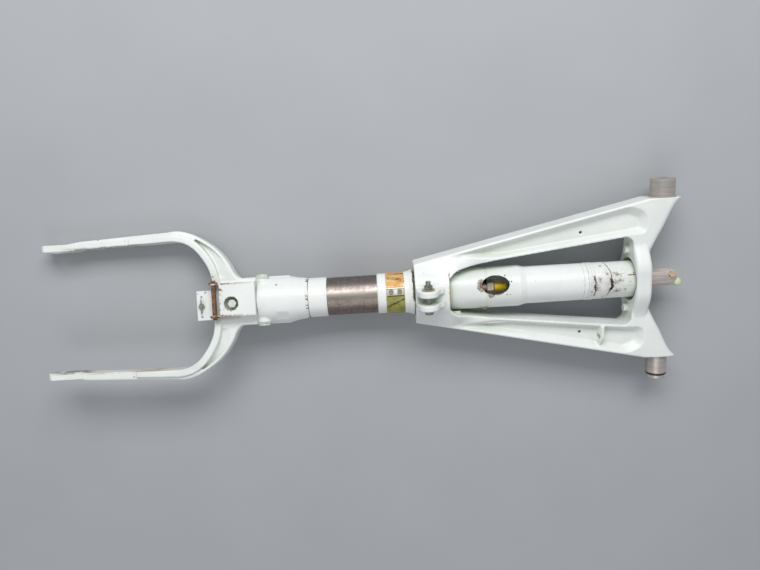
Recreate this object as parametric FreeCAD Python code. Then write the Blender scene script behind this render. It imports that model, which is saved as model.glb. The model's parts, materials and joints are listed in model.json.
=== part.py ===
import FreeCAD, Part
import math
import os

os.makedirs("parts", exist_ok=True)

# Nose gear strut lying on its back.  Millimetres.  +X runs along the strut from the
# axle to the trunnion, +Y along the trunnion pins, +Z up from the floor it lies on.
# The origin is the centre of the wheel axle.

V = FreeCAD.Vector
ORIGIN = V(0, 0, 0)
X_AXIS = V(1, 0, 0)
Y_AXIS = V(0, 1, 0)
Z_AXIS = V(0, 0, 1)

# ---- driving dimensions -------------------------------------------------------
TURN = -13.0          # degrees the steered parts lie turned from straight ahead
RUN = 0.05            # radial clearance of every running fit
GAP = 0.3             # gap between pieces that are seated on each other
SKIN = 0.15           # gap between sheet metal and the casting it lies on

# fork
AXLE_R = 8.0          # axle bore in each fork pad
PAD_R = 17.0
PAD_IN = 77.5
PAD_OUT = 86.5
PAD_HALF = 14.0
PAD_TAIL = 30.0       # length of the pad along the arm
ARM_HALF = 12.0       # half depth of the arms
ARM_IN = 79.2         # inner and outer face of the arm above the pad
ARM_OUT = 89.5
ARM_ROUND = 3.0
THROAT_X = 203.5      # inner face of the crown
THROAT_IN = 82.0      # inner face of the arm where the bend begins
BEND_X = 150.0
BEND_OUT = 94.8
BAND_WALL = 9.0       # raised band along the inner bend
BAND_START = 100.0
RECESS_START = 152.0    # recess in the bend, along the strut
RECESS_END = 222.0
RECESS_RAMP = 26.0
BAND_HALF = 16.0
WEB_HALF = 5.0        # half thickness of the web outside the band
FLANGE = 4.0          # outer flange of the web
CROWN_X = 212.0
CROWN_HALF_Y = 26.0
CROWN_HALF_Z = 17.0
NECK_Y = 29.6         # half width of the casting between crown and socket
NECK_HALF_Z = 13.0
NECK_ROUND = 9.0
CROWN_ROUND = 6.0
SOCKET_X = 238.0
SOCKET_FOOT_R = 27.2
SOCKET_STEP_X = 261.2
SOCKET_R = 30.0
SOCKET_SHOULDER_X = 301.0
SOCKET_NOSE_X = 322.0
SOCKET_NOSE_R = 26.2
SOCKET_LIP_R = 25.2
RIB_HALF_Z = 6.0
RIB_Y = 30.6
FACET_X = 284.0
FACET_LENGTH = 16.5
FACET_TURN = 45.0     # degrees from straight up
FACET_DEPTH = 0.9

# piston
PISTON_R = 24.4       # chrome piston tube
PISTON_BORE_R = 21.0
CROSS_BOLT_X = 267.5
CROSS_BOLT_Z = 12.0
CROSS_BOLT_R = 4.0
CROSS_BOSS_R = 9.2
CROSS_BOSS_FACE = 27.8
CROSS_HEAD = 13.5     # across flats
CROSS_HEAD_T = 2.6
CROSS_NUT_T = 4.0
FOOT_MARGIN = 11.5    # piston tube beyond the cross bolt
PLUG_SET = 12.5       # from the cross bolt to the bottom plug
PLUG_T = 16.0
PLUG_FLOOR = 14.0
NEEDLE_R = 3.0
NEEDLE_HEAD_R = 3.9
NEEDLE_REACH = 189.0
COLLAR_X = 325.5
COLLAR_LENGTH = 23.5
COLLAR_R = 25.4
HEAD_X = 472.0        # piston bearing ring
HEAD_LENGTH = 12.0
HEAD_SEAT_R = 22.5
SEAL_GROOVE = 4.0
SEAL_WIRE = 0.55
SNAP_T = 1.2
SNAP_GROOVE_R = 22.0
PISTON_TIP = 0.7      # piston tube beyond the snap ring
TOP_PLUG_LENGTH = 15.5
TOP_PLUG_BORE_R = 12.6

# barrel
BORE_R = 25.0         # cylinder bore the piston head runs in
SLEEVE_R = 26.5       # outside of the lower sleeve
TUBE_R = 24.2         # outside of the barrel above the sleeve
TUBE_TOP_R = 23.5     # outside of the barrel at the upper ring
TUBE_TOP_BORE_R = 20.5
MOUTH_X = 448.0       # lower end of the barrel
FLARE_R = 29.3
FLARE_LENGTH = 12.2
SLEEVE_LENGTH = 147.0
SLEEVE_RUNOUT = 7.0
BULKHEAD_X = 548.0
BULKHEAD_T = 7.0
WINDOW_X = 563.0
WINDOW_Y = 2.2
WINDOW_HALF_X = 17.5
WINDOW_HALF_Y = 12.3
WINDOW_Z = 4.0
DOT_R = 0.9
# four small holes round the window, from its centre along and from the axis across
WINDOW_DOTS = ((15.0, 13.6), (20.4, 13.3), (20.0, 5.4), (18.0, -11.0))
SKIRT_LENGTH = 17.0
BEAD_X = 681.0        # pair of turned beads on the barrel
BEAD_T = 2.5
BEAD_GAP = 3.0
BARREL_END = 744.4
GLAND_X = 413.5
GLAND_LENGTH = 11.0
GLAND_R = 25.8
GLAND_THREAD_R = 25.55
BAND_R = 26.45
BAND_T = 0.8
BAND_MARGIN = 0.15    # gap between band, gland and barrel mouth
BAND_SCREW_R = 3.1
BAND_SCREW_PITCH = 11.0
SLEEVE_SCREW_X = 551.3
SLEEVE_SCREW_R = 1.6
VALVE_R = 6.0
VALVE_HEX = 16.0
VALVE_NECK_R = 3.8
CAP_R = 5.3
CAP_LENGTH = 15.0
ORIFICE_R = 12.0
ORIFICE_WALL = 2.5
ORIFICE_END = 4.6
ORIFICE_FLANGE_R = 17.0
ORIFICE_FLANGE_X = 446.0
CROSS_HOLE_R = 1.6
CROSS_HOLE_PITCH = 12.0
STEM_R = 11.5
STEM_SPIGOT = 9.0
STEM_FLANGE_T = 3.5
STEM_FLANGE_R = 23.2
STEM_LENGTH = 57.0
STEM_NOSE = 6.5
STEM_FLAT_Z = 10.2
STEM_PLUG_R = 2.6
KNOB_R = 5.6
KNOB_NECK_R = 3.6
KNOB_Y = -7.5
KNOB_Z = 3.0

# trunnion yoke
YOKE_X = 461.0
YOKE_COLLAR = 43.5    # length of the collar
YOKE_COLLAR_R = 38.5
BUSH_OUT_R = 29.6
BUSH_SET = 0.2        # bush inside each end of the collar
YOKE_HALF = 17.0      # half depth of the legs
LEG_FOOT_Y = 38.6
BOSS_FACE = 104.0
BOSS_SET = 23.0       # from the leg's outer corner to the trunnion
BOSS_TIP = 19.5       # from the trunnion to the tip of the boss
FLANK_ROUND = 7.0
LEG_ROUND = 2.2
FLANK_CONE_R = 36.5
FLANK_CONE_END_R = 30.4
FLANK_CONE = 16.0
RING_LAP = 5.4        # how far the barrel's end stands in the ring
RING_T = 20.5
RING_WALL = 7.5
RING_BORE_R = 27.6
RING_HALF_Z = 31.0    # the casting lies on the flat backs of its ring and collar
RING_ROUND = 5.0
TRUNNION_SET = 20.5   # from the ring's face to the trunnion
CHANNEL_DEPTH = 8.5
WEB_FOOT_Y = 43.0
WEB_CREST_Y = 29.5
RIM = 3.0
CHANNEL_WALL = 13.0    # the outer wall's run, with the rim
STEM_BUSH_R = 14.5
BUSH_FLANGE_R = 17.0
BUSH_FLANGE_T = 1.5
BUSH_LIP = 1.5
PIN_SPIGOT_R = 9.0
PIN_DEPTH = 11.0
PIN_BORE_R = 5.5
UPPER_PIN_R = 15.3
UPPER_PIN_LENGTH = 23.5
UPPER_PIN_GROOVE = 11.6
UPPER_PIN_FLANGE_R = 16.4
UPPER_PIN_FLANGE = 2.2
LOWER_PIN_R = 13.2
LOWER_PIN_LENGTH = 25.0
LOWER_GROOVE = 3.3
LOWER_GROOVE_R = 10.4
LOWER_TIP = 4.2
LOWER_TIP_R = 11.6
RING_BOLT_Y = 38.5
RING_BOLT_R = 2.5
RING_BOLT_HEX = 8.5
RING_HEAD_T = 3.8
RING_WASHER_R = 5.4
RING_WASHER_T = 1.6
RING_NUT_T = 5.0
RING_BOLT_TAIL = 2.0
CLEVIS_X = 476.0
CLEVIS_Y = -0.4
CLEVIS_Z = 49.0
CLEVIS_GAP = 9.0
CLEVIS_EAR = 8.0
CLEVIS_EAR_R = 13.0
CLEVIS_TAIL = 20.0
CLEVIS_BOLT_R = 3.2
CLEVIS_HEX = 10.0
CLEVIS_HEAD_T = 3.6
CLEVIS_NUT_T = 4.6
CLEVIS_WASHER_R = 7.8
CLEVIS_WASHER_T = 1.6
CLEVIS_TAIL_BOLT = 5.2
TAB_X = 692.0
TAB_T = 4.0
TAB_LEAN = 24.0
TAB_Y = 71.5
TAB_HALF = 13.5
TAB_Z = 21.5
TAB_HOLE_R = 3.2
RAIL_X = 532.0
RAIL_LENGTH = 46.0
RAIL_Y = 43.8
RAIL_T = 3.5
LEG_HOLE_X = 674.5
LEG_HOLE_Y = 65.5
LEG_HOLE_R = 1.8

# tow bar bracket and keeper plate on the fork
TOW_X = 207.0
TOW_Z = 24.0
TOW_R = 2.9
TOW_OVERHANG = 4.0
TOW_WASHER_R = 5.2
TOW_WASHER_T = 1.5
BRACKET_X = 215.0
BRACKET_END = 260.8
BRACKET_Y = 4.0
BRACKET_HALF = 21.0
BRACKET_Z = 29.0
BRACKET_LUG = 5.0     # cheek beyond the tow pin
SHEET = 1.8
BRACKET_BOLT_X = 229.5
BRACKET_BOLT_Y = -1.2
BRACKET_BOLT_R = 3.0
BRACKET_HOLE_R = 8.8
BRACKET_HEX = 9.5
BRACKET_HEAD_T = 6.0
DISH_R = 8.2
DISH_T = 1.6
KEEPER_X = 182.6
KEEPER_Y = -2.0
KEEPER_HALF = 18.8
KEEPER_Z = 12.4
KEEPER_T = 2.0
KEEPER_SCREW_X = 188.6
KEEPER_SCREW_Y = -3.0
KEEPER_SCREW_R = 2.0
KEEPER_HEX = 7.0
KEEPER_NUT_T = 2.6
COTTER_R = 0.6
COTTER_HALF = 9.5

# ---- places that follow from the sizes above ------------------------------------
collar_end = YOKE_X + YOKE_COLLAR
ring_x0 = BARREL_END - RING_LAP
ring_x1 = ring_x0 + RING_T
ring_floor = ring_x1 - RING_WALL
trunnion_x = ring_x1 + TRUNNION_SET
corner_x = trunnion_x - BOSS_SET
piston_foot = CROSS_BOLT_X - FOOT_MARGIN
socket_end = COLLAR_X - GAP
head_end = HEAD_X + HEAD_LENGTH
piston_end = head_end + 0.1 + SNAP_T + PISTON_TIP


# ---- small helpers ------------------------------------------------------------
def rod(x0, x1, r, y=0.0, z=0.0):
    return Part.makeCylinder(r, x1 - x0, V(x0, y, z), X_AXIS)


def rod_y(y0, y1, r, x, z=0.0):
    return Part.makeCylinder(r, y1 - y0, V(x, y0, z), Y_AXIS)


def rod_z(z0, z1, r, x, y=0.0):
    return Part.makeCylinder(r, z1 - z0, V(x, y, z0), Z_AXIS)


def ring(x0, x1, r_out, r_in):
    return rod(x0, x1, r_out).cut(rod(x0 - 1, x1 + 1, r_in))


def box(x0, x1, y0, y1, z0, z1):
    return Part.makeBox(x1 - x0, y1 - y0, z1 - z0, V(x0, y0, z0))


def turned(profile):
    """Solid of revolution about X from (x, r) points."""
    points = [V(x, r, 0) for x, r in profile]
    points.append(points[0])
    face = Part.Face(Part.makePolygon(points))
    return face.revolve(ORIGIN, X_AXIS, 360)


def drafted(low, high, z0, z1):
    """Solid with sloping walls between two outlines of as many corners."""
    wires = []
    for outline, z in ((low, z0), (high, z1)):
        points = [V(x, y, z) for x, y in outline]
        points.append(points[0])
        wires.append(Part.makePolygon(points))
    return Part.makeLoft(wires, True, True)


def eased(outline, reach, steps=4):
    """The outline with each corner turned into a short run of points on a curve."""
    points = []
    for i, (x, y) in enumerate(outline):
        ends = []
        for bx, by in (outline[i - 1], outline[(i + 1) % len(outline)]):
            run = math.hypot(bx - x, by - y)
            part = min(reach, 0.45 * run) / run
            ends.append((x + (bx - x) * part, y + (by - y) * part))
        (ax, ay), (cx, cy) = ends
        for k in range(steps + 1):
            t = k / steps
            a, b, c = (1 - t) ** 2, 2 * t * (1 - t), t ** 2
            points.append((a * ax + b * x + c * cx, a * ay + b * y + c * cy))
    return points


def outline_face(chains, place):
    """Face from a closed outline; a chain of two points is a line, a longer one a spline."""
    edges = []
    for chain in chains:
        points = [place(a, b) for a, b in chain]
        if len(points) == 2:
            edges.append(Part.LineSegment(points[0], points[1]).toShape())
        else:
            spline = Part.BSplineCurve()
            spline.interpolate(points)
            edges.append(spline.toShape())
    return Part.Face(Part.Wire(edges))


def curve_slab(chains, z0, z1):
    return outline_face(chains, lambda x, y: V(x, y, z0)).extrude(V(0, 0, z1 - z0))


def hex_points(across, spin, place):
    r = across / math.sqrt(3)
    points = []
    for i in range(7):
        a = math.radians(60 * i + spin)
        points.append(place(r * math.cos(a), r * math.sin(a)))
    return Part.Face(Part.makePolygon(points))


def hexagon(x0, x1, across, y=0.0, z=0.0, spin=0.0):
    face = hex_points(across, spin, lambda a, b: V(x0, y + a, z + b))
    return face.extrude(V(x1 - x0, 0, 0))


def hexagon_y(y0, y1, across, x, z, spin=30.0):
    face = hex_points(across, spin, lambda a, b: V(x + a, y0, z + b))
    return face.extrude(V(0, y1 - y0, 0))


def hexagon_z(z0, z1, across, x, y, spin=0.0):
    face = hex_points(across, spin, lambda a, b: V(x + a, y + b, z0))
    return face.extrude(V(0, 0, z1 - z0))


def mirror_y(shape):
    return shape.mirror(ORIGIN, Y_AXIS)


def mirror_z(shape):
    return shape.mirror(ORIGIN, Z_AXIS)


def join(shapes):
    whole = shapes[0]
    for shape in shapes[1:]:
        whole = whole.fuse(shape)
    return whole.removeSplitter()


def soften(shape, radius, pick):
    """Round the edges that pick chooses."""
    chosen = [edge for edge in shape.Edges if pick(edge)]
    return shape.makeFillet(radius, chosen)


def lies_at_z(edge, z):
    limits = edge.BoundBox
    return abs(limits.ZMin - z) < 0.01 and abs(limits.ZMax - z) < 0.01


def steered(shape):
    """Turn a part that moves with the steering to the angle it lies at."""
    turned_shape = shape.copy()
    turned_shape.rotate(ORIGIN, X_AXIS, TURN)
    return turned_shape


parts = {}


def keep(name, shape, moves=False):
    parts[name] = steered(shape) if moves else shape


# ---- trunnion yoke ------------------------------------------------------------
def leg_outer(x):
    return LEG_FOOT_Y + (BOSS_FACE - LEG_FOOT_Y) * (x - YOKE_X) / (corner_x - YOKE_X)


# the flank runs from the tip of the boss in to the ring: (before the trunnion, out from axis)
boss_tip = (trunnion_x + BOSS_TIP, BOSS_FACE)
flank = [boss_tip, (trunnion_x + 12.2, BOSS_FACE - 8.0), (trunnion_x + 4.3, BOSS_FACE - 22.4),
         (trunnion_x - 2.5, BOSS_FACE - 37.0), (trunnion_x - 9.5, BOSS_FACE - 50.0),
         (trunnion_x - 15.0, BOSS_FACE - 61.0), (trunnion_x - 18.4, BOSS_FACE - 69.0),
         (ring_x1, BOSS_FACE - 76.0)]
flank_back = [(x, -y) for x, y in reversed(flank)]
plate = curve_slab([
    [(YOKE_X, LEG_FOOT_Y), (corner_x, BOSS_FACE)], [(corner_x, BOSS_FACE), boss_tip],
    flank, [flank[-1], flank_back[0]], flank_back,
    [flank_back[-1], (corner_x, -BOSS_FACE)], [(corner_x, -BOSS_FACE), (YOKE_X, -LEG_FOOT_Y)],
    [(YOKE_X, -LEG_FOOT_Y), (YOKE_X, LEG_FOOT_Y)],
], -YOKE_HALF, YOKE_HALF)


def on_flank(edge):
    limits = edge.BoundBox
    flat = lies_at_z(edge, YOKE_HALF) or lies_at_z(edge, -YOKE_HALF)
    return flat and limits.XMin > ring_x1 - 1 and limits.YLength > 40 and limits.YLength < 80


def on_leg(edge):
    flat = lies_at_z(edge, YOKE_HALF) or lies_at_z(edge, -YOKE_HALF)
    return flat and edge.BoundBox.XLength > 0.6 * (corner_x - YOKE_X)


plate = soften(plate, FLANK_ROUND, on_flank)
plate = soften(plate, LEG_ROUND, on_leg)

# window between the legs: a slit past the collar, then open up to the ring
slit_x = collar_end + 11.5
open_x = slit_x + 44.0
SLIT_Y = 29.0
OPEN_Y = 37.0
FAR_Y = 57.0
half_window = [
    [(slit_x, SLIT_Y), (open_x, OPEN_Y)], [(open_x, OPEN_Y), (ring_x0 - 14.0, FAR_Y)],
    [(ring_x0 - 14.0, FAR_Y), (ring_x0 - 4.5, FAR_Y - 1.0), (ring_x0, FAR_Y - 7.0)],
]
lower_half = [[(x, -y) for x, y in reversed(chain)] for chain in reversed(half_window)]
window = curve_slab(
    half_window + [[(ring_x0, FAR_Y - 7.0), (ring_x0, 7.0 - FAR_Y)]] + lower_half
    + [[(slit_x, -SLIT_Y), (slit_x, SLIT_Y)]], -2 * YOKE_HALF, 2 * YOKE_HALF)

# upper ring: an arch that stands proud of the legs round the end of the barrel
ARCH = [(-56.0, YOKE_HALF - 1.0), (-44.0, YOKE_HALF + 1.5), (-34.0, YOKE_HALF + 6.5),
        (-24.0, RING_HALF_Z - 2.4), (-14.0, RING_HALF_Z)]
arch_back = [(-y, z) for y, z in reversed(ARCH)]
arch_top = [ARCH, [ARCH[-1], arch_back[0]], arch_back]
arch_low = [[(-y, -z) for y, z in chain] for chain in arch_top]
profile = arch_top + [[arch_back[-1], arch_low[0][0]]] + arch_low
profile.append([arch_low[-1][-1], ARCH[0]])
crossbar = outline_face(profile, lambda y, z: V(ring_x0, y, z)).extrude(V(RING_T, 0, 0))
crossbar = soften(crossbar, RING_ROUND, lambda e: e.BoundBox.XLength < 0.1
                  and e.BoundBox.ZLength < 30)

# collar, and the webs that slope from it down to the legs
collar = rod(YOKE_X, collar_end, YOKE_COLLAR_R)
cone = Part.makeCone(FLANK_CONE_R, FLANK_CONE_END_R, FLANK_CONE, V(collar_end - 0.5, 0, 0), X_AXIS)
cone = cone.common(box(collar_end - 5, collar_end + 30, -60, 60, 1 - YOKE_HALF, YOKE_HALF - 1))


def web_section(x, height=1.0, spread=1.0, lean=0.0):
    """A slope from the leg's edge up to the collar, or a lower and narrower one past it."""
    edge_y = leg_outer(x) - LEG_ROUND
    far = math.hypot(edge_y, YOKE_HALF)
    angle = math.atan2(YOKE_HALF, edge_y) + math.acos(YOKE_COLLAR_R / far)
    touch_y = YOKE_COLLAR_R * math.cos(angle)
    touch_z = YOKE_COLLAR_R * math.sin(angle)
    foot_y = WEB_FOOT_Y + (edge_y - WEB_FOOT_Y) * spread
    top_y = touch_y + (WEB_CREST_Y - touch_y) * lean
    top_z = YOKE_HALF + (touch_z - YOKE_HALF) * height
    points = [V(x, foot_y, YOKE_HALF), V(x, top_y, top_z), V(x, top_y, YOKE_HALF - 6)]
    points.extend([V(x, foot_y, YOKE_HALF - 6), points[0]])
    return Part.makePolygon(points)


web = Part.makeLoft([web_section(YOKE_X), web_section(collar_end)], True, True)
# past the collar the slope dies away: (distance, height, spread, lean) of its sections
FADE = [(-0.2, 0.99, 1.0, 0.0), (3.0, 0.93, 0.75, 0.35), (6.5, 0.82, 0.45, 0.7),
        (11.0, 0.66, 0.2, 1.0), (19.0, 0.38, 0.0, 1.0), (28.0, 0.14, 0.0, 1.0),
        (38.0, 0.01, 0.0, 1.0)]
sections = [web_section(collar_end + run, *shape) for run, *shape in FADE]
fade = Part.makeLoft(sections, True, True).cut(window)
webs = []
for piece in (web, fade):
    for shape in (piece, mirror_y(piece)):
        webs.append(shape)
        webs.append(mirror_z(shape))

yoke = join([plate.cut(window), crossbar, collar, cone] + webs)
yoke = yoke.cut(box(YOKE_X - 10, collar_end + 30, -80, 80, -60, -RING_HALF_Z))

# open channels on both faces of each leg, with sloping walls
tip_x = slit_x - 1.5
far_x = ring_x0 - 2.0
rim = [(tip_x, 45.0), (open_x + 2.0, OPEN_Y + RIM), (ring_x0 - 16.0, FAR_Y + RIM),
       (ring_x0 + 17.5, 61.0), (ring_x0 + 18.5, 86.0), (far_x, leg_outer(far_x) - RIM),
       (tip_x + 2.0, leg_outer(tip_x + 2.0) - RIM)]
floor_x = open_x - 8.0
floor_end = ring_x0 + 8.0
floor = [(floor_x, 46.8), (open_x + 14.0, OPEN_Y + RIM + 5.5), (ring_x0 - 14.0, FAR_Y + RIM + 4.5),
         (floor_end, 68.0), (floor_end, 80.0), (ring_x0 - 8.0, leg_outer(ring_x0) - CHANNEL_WALL),
         (floor_x, 49.0)]
channel = drafted(eased(floor, 5.0), eased(rim, 10.0), YOKE_HALF - CHANNEL_DEPTH,
                  YOKE_HALF + 0.01)
for shape in (channel, mirror_y(channel)):
    yoke = yoke.cut(shape).cut(mirror_z(shape))

# drag brace clevis on the collar
ear_edge = CLEVIS_GAP / 2 + CLEVIS_EAR
ears = []
for low_y in (CLEVIS_Y - ear_edge, CLEVIS_Y + CLEVIS_GAP / 2):
    high_y = low_y + CLEVIS_EAR
    ear = rod_y(low_y, high_y, CLEVIS_EAR_R, CLEVIS_X, CLEVIS_Z)
    foot = box(CLEVIS_X - CLEVIS_EAR_R - 1, CLEVIS_X + CLEVIS_TAIL, low_y, high_y,
               YOKE_COLLAR_R - 8.5, CLEVIS_Z)
    scoop = rod_y(low_y - 1, high_y + 1, CLEVIS_TAIL - 11, CLEVIS_X + CLEVIS_TAIL + 2, CLEVIS_Z + 1)
    ears.append(ear.fuse(foot.cut(scoop)))
yoke = join([yoke] + ears)
yoke = yoke.cut(rod_y(-30, 30, CLEVIS_BOLT_R + RUN, CLEVIS_X, CLEVIS_Z))

# steering stop tab, cable rail and cable holes on the legs
tab = box(TAB_X, TAB_X + TAB_T, -TAB_Y - TAB_HALF, TAB_HALF - TAB_Y, 0.0, TAB_Z)
corner = box(TAB_X - 1, TAB_X + TAB_T + 1, -TAB_HALF, TAB_HALF, 0, TAB_HALF)
corner.rotate(V(TAB_X, -TAB_HALF, 0), X_AXIS, 32)
corner.translate(V(0, -TAB_Y, TAB_Z - 7.0))
tab = tab.cut(corner)
tab = tab.cut(rod(TAB_X - 5, TAB_X + TAB_T + 5, TAB_HOLE_R, -TAB_Y - 0.5, YOKE_HALF - 3.5))
tab.rotate(V(TAB_X, 0, 0), Y_AXIS, TAB_LEAN)
rail = box(RAIL_X, RAIL_X + RAIL_LENGTH, -RAIL_Y - RAIL_T / 2, RAIL_T / 2 - RAIL_Y,
           0.0, YOKE_HALF - RIM)
yoke = join([yoke, tab, rail])
for side in (1, -1):
    yoke = yoke.cut(rod_z(-2 * YOKE_HALF, 2 * YOKE_HALF, LEG_HOLE_R, LEG_HOLE_X, side * LEG_HOLE_Y))

# bores: collar bush, ring, end wall bush, trunnion pins, ring bolts
yoke = yoke.cut(rod(YOKE_X - 5, slit_x + 10, BUSH_OUT_R))
yoke = yoke.cut(rod(ring_x0 - 8, ring_floor, RING_BORE_R))
yoke = yoke.cut(rod(ring_floor - 1, ring_x1 + 20, STEM_BUSH_R))
for side in (1, -1):
    y0 = BOSS_FACE - PIN_DEPTH if side == 1 else -BOSS_FACE - 5
    yoke = yoke.cut(rod_y(y0, y0 + PIN_DEPTH + 5, PIN_SPIGOT_R, trunnion_x))
    yoke = yoke.cut(rod(ring_x0 - 5, ring_x1 + 20, RING_BOLT_R, side * RING_BOLT_Y))
    yoke = yoke.cut(rod(ring_x1, ring_x1 + 20, RING_BOLT_HEX * 0.75, side * RING_BOLT_Y))
keep("trunnion_yoke", yoke)

# ---- bearings, pins and bolts of the yoke --------------------------------------
keep("collar_bushing", ring(YOKE_X + BUSH_SET, collar_end - BUSH_SET, BUSH_OUT_R, SLEEVE_R + RUN))
bush_face = ring_floor - GAP
end_bush = ring(bush_face, ring_x1 + BUSH_LIP, STEM_BUSH_R, STEM_R + RUN)
end_bush = end_bush.fuse(ring(bush_face - BUSH_FLANGE_T, bush_face, BUSH_FLANGE_R, STEM_R + RUN))
keep("stem_bushing", end_bush.removeSplitter())

upper_pin = rod_y(BOSS_FACE - PIN_DEPTH + 1, BOSS_FACE, PIN_SPIGOT_R, trunnion_x)
for y0, y1, r in (
    (0.0, UPPER_PIN_FLANGE, UPPER_PIN_FLANGE_R),
    (UPPER_PIN_FLANGE, UPPER_PIN_GROOVE, UPPER_PIN_R),
    (UPPER_PIN_GROOVE, UPPER_PIN_GROOVE + 0.8, UPPER_PIN_R - 0.5),
    (UPPER_PIN_GROOVE + 0.8, UPPER_PIN_LENGTH, UPPER_PIN_R),
):
    upper_pin = upper_pin.fuse(rod_y(BOSS_FACE + y0, BOSS_FACE + y1, r, trunnion_x))
upper_pin = upper_pin.removeSplitter()
upper_pin = upper_pin.cut(rod_y(BOSS_FACE - 40, BOSS_FACE + 40, PIN_BORE_R, trunnion_x))
keep("trunnion_pin_upper", upper_pin)

groove_end = LOWER_PIN_LENGTH + LOWER_GROOVE
lower_pin = rod_y(-BOSS_FACE, -BOSS_FACE + PIN_DEPTH - 1, PIN_SPIGOT_R, trunnion_x)
for y0, y1, r in ((0.0, LOWER_PIN_LENGTH, LOWER_PIN_R),
                  (LOWER_PIN_LENGTH, groove_end, LOWER_GROOVE_R),
                  (groove_end, groove_end + LOWER_TIP, LOWER_TIP_R)):
    lower_pin = lower_pin.fuse(rod_y(-BOSS_FACE - y1, -BOSS_FACE - y0, r, trunnion_x))
lower_pin = lower_pin.removeSplitter()
lower_pin = lower_pin.cut(rod_y(-BOSS_FACE - 40, -BOSS_FACE + 40, PIN_BORE_R, trunnion_x))
keep("trunnion_pin_lower", lower_pin)
seal_y = -BOSS_FACE - LOWER_PIN_LENGTH - LOWER_GROOVE / 2
seal_wire = LOWER_GROOVE / 2 - GAP
seal = Part.makeTorus(LOWER_GROOVE_R + seal_wire, seal_wire, V(trunnion_x, seal_y, 0), Y_AXIS)
keep("pin_seal_ring", seal)

bolt_lo = CLEVIS_Y - ear_edge
bolt_hi = CLEVIS_Y + ear_edge
nut_y = bolt_hi + CLEVIS_WASHER_T
brace_bolt = rod_y(bolt_lo - CLEVIS_WASHER_T, nut_y + CLEVIS_NUT_T + CLEVIS_TAIL_BOLT,
                   CLEVIS_BOLT_R, CLEVIS_X, CLEVIS_Z)
head_y = bolt_lo - CLEVIS_WASHER_T
brace_bolt = brace_bolt.fuse(hexagon_y(head_y - CLEVIS_HEAD_T, head_y, CLEVIS_HEX,
                                       CLEVIS_X, CLEVIS_Z))
keep("brace_bolt", brace_bolt)
washers = []
for y0 in (bolt_lo - CLEVIS_WASHER_T, bolt_hi):
    washer = rod_y(y0, y0 + CLEVIS_WASHER_T, CLEVIS_WASHER_R, CLEVIS_X, CLEVIS_Z)
    washers.append(washer.cut(rod_y(y0 - 1, y0 + 3, CLEVIS_BOLT_R + RUN, CLEVIS_X, CLEVIS_Z)))
keep("brace_washers", Part.makeCompound(washers))
nut = hexagon_y(nut_y, nut_y + CLEVIS_NUT_T, CLEVIS_HEX, CLEVIS_X, CLEVIS_Z)
for i in range(3):
    slot = box(CLEVIS_X - CLEVIS_HEX, CLEVIS_X + CLEVIS_HEX, nut_y + CLEVIS_NUT_T * 0.6,
               nut_y + CLEVIS_NUT_T + 1, CLEVIS_Z - 0.9, CLEVIS_Z + 0.9)
    slot.rotate(V(CLEVIS_X, 0, CLEVIS_Z), Y_AXIS, 60 * i + 30)
    nut = nut.cut(slot)
nut = nut.cut(rod_y(bolt_hi, nut_y + CLEVIS_NUT_T + 1, CLEVIS_BOLT_R, CLEVIS_X, CLEVIS_Z))
keep("brace_nut", nut)

ring_bolts = []
ring_nuts = []
head_x = ring_x0 - RING_WASHER_T
for side in (1, -1):
    y = side * RING_BOLT_Y
    bolt = rod(head_x, ring_x1 + RING_NUT_T + RING_BOLT_TAIL, RING_BOLT_R, y)
    ring_bolts.append(bolt.fuse(hexagon(head_x - RING_HEAD_T, head_x, RING_BOLT_HEX, y)))
    washer = rod(head_x, ring_x0, RING_WASHER_R, y)
    nut = hexagon(ring_x1, ring_x1 + RING_NUT_T, RING_BOLT_HEX, y)
    for piece in (nut, washer):
        ring_nuts.append(piece.cut(rod(head_x - 5, ring_x1 + 15, RING_BOLT_R, y)))
keep("ring_bolts", Part.makeCompound(ring_bolts))
keep("ring_bolt_nuts", Part.makeCompound(ring_nuts))

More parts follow.
